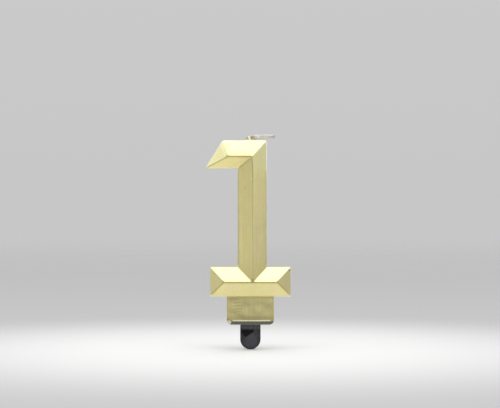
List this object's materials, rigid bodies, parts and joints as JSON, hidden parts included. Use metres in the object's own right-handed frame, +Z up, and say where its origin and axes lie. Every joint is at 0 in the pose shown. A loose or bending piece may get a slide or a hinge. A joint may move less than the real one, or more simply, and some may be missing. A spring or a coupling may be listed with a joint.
{
  "type": "number candle",
  "caption": "Faceted gold numeral candle on a foot block, with a folded cotton wick that stands up for lighting and a push-in plastic cake pick.",
  "frame": {"origin": "on the pick's axis, in the plane of the foot's underside, which sits on the cake", "axes": "+Z up along the stem, -Y the faceted front, +X to the viewer's right"},
  "size_m": [0.0344, 0.0122, 0.0864],
  "materials": {
    "wax": "cast paraffin wax, slightly translucent",
    "gold_lacquer": "satin metallic gold lacquer with fine flake",
    "wick_cotton": "waxed braided cotton",
    "pick_plastic": "glossy charcoal moulding"
  },
  "bodies": {
    "holder": {"pick": "pick_plastic"},
    "candle": {"wax_body": "wax", "lacquer_skin": "gold_lacquer", "wick_core": "wick_cotton", "wick_bend": "wick_cotton"},
    "wick_end": {"wick_tip": "wick_cotton"}
  },
  "joints": [
    {"name": "pick_pull", "type": "slide", "parent": "holder", "child": "candle", "axis": [0, 0, 1], "range_m": [0, 0.016]},
    {"name": "wick_stand", "type": "hinge", "parent": "candle", "child": "wick_end", "pos_m": [0.00026, 0, 0.07539], "axis": [0, -1, 0], "range_deg": [0, 90], "deforming": ["wick_bend"]}
  ]
}
